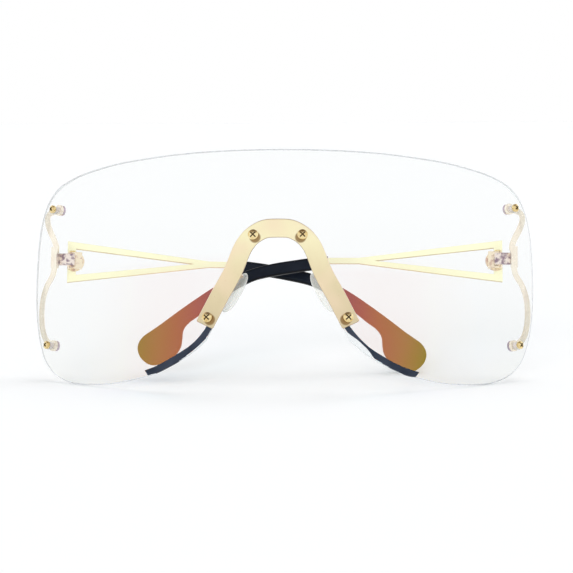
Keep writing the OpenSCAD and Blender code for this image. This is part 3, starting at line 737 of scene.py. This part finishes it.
# Temples' moulded tips
for side, fold, word in ((-1, OUTER_FOLD, "left"), (1, INNER_FOLD, "right")):
    place, flat = on_bend(side, fold)
    loops = face_loops(word + "_temple_tip", flat, -TIP_T / 2)[:1]
    tip = rounded_sheet(word + "_tip", loops, place, -TIP_T / 2, TIP_T / 2, r=1.0, grid=4.0, steps=6)
    dress(tip, word + "_temple", [TIP_BLACK], word + "_temple_tip")


# Rigid metal pieces: the node's own mesh with its sharp edges rounded off
def eased(name, new_name, width, mat, body, segments=2):
    bm = joined(name)
    bmesh.ops.dissolve_limit(bm, angle_limit=radians(0.8), verts=bm.verts, edges=bm.edges)
    mesh = bpy.data.meshes.new(new_name)
    bm.to_mesh(mesh)
    bm.free()
    made = bpy.data.objects.new(new_name, mesh)
    bpy.context.scene.collection.objects.link(made)
    bevel = made.modifiers.new("ease", "BEVEL")
    bevel.width = width
    bevel.segments = segments
    bevel.limit_method = "ANGLE"
    bevel.angle_limit = radians(35)
    bevel.harden_normals = False
    mesh.shade_smooth()
    weight = made.modifiers.new("weight", "WEIGHTED_NORMAL")
    weight.keep_sharp = False
    weight.weight = 80
    return dress(made, body, [mat], name)


for word in ("left", "right"):
    eased(word + "_bracket", word + "_side_bracket", 0.00012, ROSE_GOLD, "frame")
    eased(word + "_bracket_leaf", word + "_frame_leaf", 0.0001, HINGE_METAL, "frame")
    eased(word + "_temple_leaf", word + "_arm_leaf", 0.0001, HINGE_WARM, word + "_temple")
    arm = eased(word + "_temple_arm", word + "_arm", 0.0002, YELLOW_GOLD, word + "_temple", 3)
    arm.data.materials.append(UNDERSIDE_SHADE)
    # Painted shade on the arm's faces that point down
    for face in arm.data.polygons:
        if face.normal.dot(HIGH) < -0.7:
            face.material_index = 1
    eased(word + "_hinge_screw", word + "_pivot_screw", 0.00005, BRASS, word + "_temple")
    eased(word + "_pad_arm", word + "_pad_wire", 0.00006, STRIP_GOLD, "frame")
    eased(word + "_pad_screw", word + "_pad_pin", 0.00005, BRASS, "frame")

# Painted shade darkens the inside of the heads' cross slots: their sizes, and how far a face may be from
# them
STRIP_HEAD_D = 3.0
SIDE_HEAD_D = 2.4
HEAD_H = 1.2
CROSS_DEEP = 0.55
CROSS_RIM = 0.45
SLOT_NEAR = 0.03


def slotted(made, heads, seat_w, head_d):
    made.data.materials.append(SLOT_DARK)
    for face in made.data.polygons:
        q = drawn(Vector(face.center))
        w = off_cylinder(q)[2]
        n = face.normal
        out = turned(Vector((q.x, q.y - LENS_R, 0)).normalized())
        top = seat_w - HEAD_H
        deep = top < w < top + CROSS_DEEP + SLOT_NEAR
        floor_face = abs(w - (top + CROSS_DEEP)) < SLOT_NEAR and n.dot(out) > 0.9
        near = min((q - c).length for c in heads)
        if floor_face or (deep and abs(n.dot(out)) < 0.3 and near < head_d / 2 - CROSS_RIM + 0.12):
            face.material_index = 1


def head_centres(name):
    bm = joined(name)
    left = set(bm.verts)
    centres = []
    while left:
        group = [min(left, key=lambda v: v.index)]
        left.discard(group[0])
        for v in group:
            for e in v.link_edges:
                other = e.other_vert(v)
                if other in left:
                    left.discard(other)
                    group.append(other)
        spots = [drawn(v.co) for v in group]
        far = max(hypot(q.x, LENS_R - q.y) for q in spots)
        top = [q for q in spots if hypot(q.x, LENS_R - q.y) > far - HEAD_H / 2]
        centres.append(sum(top, Vector()) / len(top))
    bm.free()
    return centres


for name, new_name, seat_w, head_d in (
        ("strip_screws", "front_screws", -(STRIP_T + 2 * SEAT_GAP), STRIP_HEAD_D),
        ("side_screws", "end_screws", -SEAT_GAP, SIDE_HEAD_D)):
    made = eased(name, new_name, 0.00004, BRASS, "frame")
    slotted(made, head_centres(name), seat_w, head_d)
eased("strip_nuts", "front_nuts", 0.00008, NUT_METAL, "frame")
eased("side_nuts", "end_nuts", 0.00008, NUT_METAL, "frame")

for held in bpy.data.objects["lens_sleeves"].material_slots:
    held.material = SLEEVE_CLEAR


# Nose pads: soft clear mouldings, domed towards the nose, each with its tab. PAD_HALF is half of
# the outline and PAD_DOME the shares of it at each depth, both as shares of the pad's sizes.
PAD_HALF = [(0.0, 0.5), (0.2, 0.46), (0.37, 0.34), (0.46, 0.16), (0.5, -0.08), (0.46, -0.3), (0.28, -0.46),
            (0.0, -0.5)]
PAD_DOME = [(0.30, -0.50), (0.58, -0.455), (0.80, -0.36), (0.93, -0.23), (0.99, -0.08), (1.0, 0.06),
            (0.96, 0.22), (0.84, 0.34), (0.6, 0.40), (0.3, 0.42)]

# Half the width of the tab where it leaves the pad and at its neck, and the easing of its edges
ROOT_HALF = 0.62
NECK_HALF = 0.66
TAB_EASE = 0.12


def smooth_line(points, steps):
    last = len(points) - 1
    line = []
    for i in range(last):
        a, b, c, d = (points[max(i - 1, 0)], points[i], points[i + 1], points[min(i + 2, last)])
        for k in range(steps):
            t = k / steps
            line.append(tuple(
                (2 * b[j] + (c[j] - a[j]) * t + (2 * a[j] - 5 * b[j] + 4 * c[j] - d[j]) * t * t
                 + (3 * b[j] - a[j] - 3 * c[j] + d[j]) * t ** 3) / 2 for j in (0, 1)))
    return line + [points[last]]


def pad(side, word):
    turn = Matrix.Rotation(-PAD_TILT, 3, "Y") @ Matrix.Rotation(-PAD_SPLAY, 3, "Z")

    def there(x, y, z):
        q = Vector(PAD_PLACE) + turn @ Vector((x, y, z))
        return placed((side * q.x, q.y, q.z))

    half = smooth_line(PAD_HALF, 5)
    outline = half + [(-y, z) for y, z in half[-2:0:-1]]
    bm = bmesh.new()
    rings = []
    for share, depth in PAD_DOME:
        rings.append([bm.verts.new(there(depth * PAD_H, share * y * PAD_W, share * z * PAD_L))
                      for y, z in outline])
    for near_ring, far_ring in zip(rings, rings[1:]):
        for i in range(len(outline)):
            k = (i + 1) % len(outline)
            bm.faces.new((near_ring[i], near_ring[k], far_ring[k], far_ring[i]))
    for ring, depth in ((rings[0], PAD_DOME[0][1]), (rings[-1], PAD_DOME[-1][1])):
        middle = bm.verts.new(there(depth * PAD_H, 0, 0))
        for i in range(len(outline)):
            bm.faces.new((ring[i], ring[(i + 1) % len(outline)], middle))
    pivot = PAD_H / 2 + PAD_PIVOT
    root, neck = 0.3 * PAD_H, pivot - 0.3
    tab = [(root, -ROOT_HALF), (neck, -NECK_HALF)]
    tab += [(pivot + TAB_R * cos(a), TAB_R * sin(a)) for a in (radians(d) for d in range(-60, 61, 20))]
    tab += [(neck, NECK_HALF), (root, ROOT_HALF)]
    ends = []
    for y in (-TAB_T / 2, -TAB_T / 2 + TAB_EASE, TAB_T / 2 - TAB_EASE, TAB_T / 2):
        shrink = 0.9 if abs(y) == TAB_T / 2 else 1.0
        ends.append([bm.verts.new(there(x if shrink == 1 else pivot + (x - pivot) * shrink, y, z * shrink))
                     for x, z in tab])
    for a, b in zip(ends, ends[1:]):
        for i in range(len(tab)):
            k = (i + 1) % len(tab)
            bm.faces.new((a[i], a[k], b[k], b[i]))
    bm.faces.new(ends[0])
    bm.faces.new(ends[-1])
    bmesh.ops.recalc_face_normals(bm, faces=bm.faces)
    mesh = bpy.data.meshes.new(word + "_pad")
    bm.to_mesh(mesh)
    bm.free()
    mesh.shade_smooth()
    made = bpy.data.objects.new(word + "_soft_pad", mesh)
    bpy.context.scene.collection.objects.link(made)
    finer = made.modifiers.new("finer", "SUBSURF")
    finer.levels = 1
    finer.render_levels = 1
    dress(made, word + "_pad", [PAD_CLEAR], word + "_nose_pad")


pad(-1, "left")
pad(1, "right")


# Floor, light and world
def seen_ray(tree, kinds):
    path = tree.nodes.new("ShaderNodeLightPath")
    value = path.outputs[kinds[0]]
    for kind in kinds[1:]:
        value = maths(tree, "MAXIMUM", value, path.outputs[kind])
    return value


def floor():
    mat, tree, out = material("floor_white")
    plain = node(tree, "ShaderNodeBsdfDiffuse", Color=(0.80, 0.81, 0.82, 1.0))
    shown = node(tree, "ShaderNodeBsdfDiffuse", Color=(0.99, 0.995, 1.0, 1.0))
    glow = node(tree, "ShaderNodeEmission", Color=(1.0, 1.0, 1.0, 1.0), Strength=0.055)
    both = tree.nodes.new("ShaderNodeAddShader")
    tree.links.new(shown.outputs["BSDF"], both.inputs[0])
    tree.links.new(glow.outputs["Emission"], both.inputs[1])
    mix = tree.nodes.new("ShaderNodeMixShader")
    tree.links.new(seen_ray(tree, ["Is Camera Ray", "Is Glossy Ray", "Is Transmission Ray"]), mix.inputs[0])
    tree.links.new(plain.outputs["BSDF"], mix.inputs[1])
    tree.links.new(both.outputs["Shader"], mix.inputs[2])
    tree.links.new(mix.outputs["Shader"], out.inputs["Surface"])
    bm = bmesh.new()
    bmesh.ops.create_grid(bm, x_segments=1, y_segments=1, size=6.0)
    mesh = bpy.data.meshes.new("floor")
    bm.to_mesh(mesh)
    bm.free()
    mesh.materials.append(mat)
    made = bpy.data.objects.new("floor", mesh)
    bpy.context.scene.collection.objects.link(made)


def world():
    made = bpy.data.worlds.new("studio")
    bpy.context.scene.world = made
    made.use_nodes = True
    tree = made.node_tree
    tree.nodes.clear()
    out = tree.nodes.new("ShaderNodeOutputWorld")
    soft = node(tree, "ShaderNodeBackground", Color=(0.98, 0.99, 1.0, 1.0), Strength=0.62)
    white = node(tree, "ShaderNodeBackground", Color=(1.0, 1.0, 1.0, 1.0), Strength=1.0)
    way = tree.nodes.new("ShaderNodeTexCoord")
    split = tree.nodes.new("ShaderNodeSeparateXYZ")
    tree.links.new(way.outputs["Generated"], split.inputs["Vector"])
    room = node(tree, "ShaderNodeBackground", Strength=1.0)
    above = ramp(tree, split.outputs["Z"], [
        (0.62, (1.0, 1.0, 1.0)), (0.78, (0.45, 0.38, 0.34)), (1.0, (0.16, 0.12, 0.10))])
    tree.links.new(above, room.inputs["Color"])
    first = tree.nodes.new("ShaderNodeMixShader")
    tree.links.new(seen_ray(tree, ["Is Camera Ray", "Is Transmission Ray"]), first.inputs[0])
    tree.links.new(soft.outputs["Background"], first.inputs[1])
    tree.links.new(white.outputs["Background"], first.inputs[2])
    second = tree.nodes.new("ShaderNodeMixShader")
    tree.links.new(seen_ray(tree, ["Is Glossy Ray"]), second.inputs[0])
    tree.links.new(first.outputs["Shader"], second.inputs[1])
    tree.links.new(room.outputs["Background"], second.inputs[2])
    tree.links.new(second.outputs["Shader"], out.inputs["Surface"])


def sun(name, turn, height, strength, spread):
    data = bpy.data.lights.new(name, "SUN")
    data.energy = strength
    data.angle = radians(spread)
    made = bpy.data.objects.new(name, data)
    a, e = radians(turn), radians(height)
    towards = Vector((sin(a) * cos(e), -cos(a) * cos(e), sin(e)))
    made.rotation_euler = towards.to_track_quat("Z", "Y").to_euler()
    made.visible_glossy = False
    bpy.context.scene.collection.objects.link(made)


floor()
world()
sun("soft_front", turn=-9.0, height=12.0, strength=2.1, spread=22.0)
sun("soft_back", turn=160.0, height=62.0, strength=0.74, spread=40.0)
bpy.context.scene.view_settings.view_transform = "Standard"
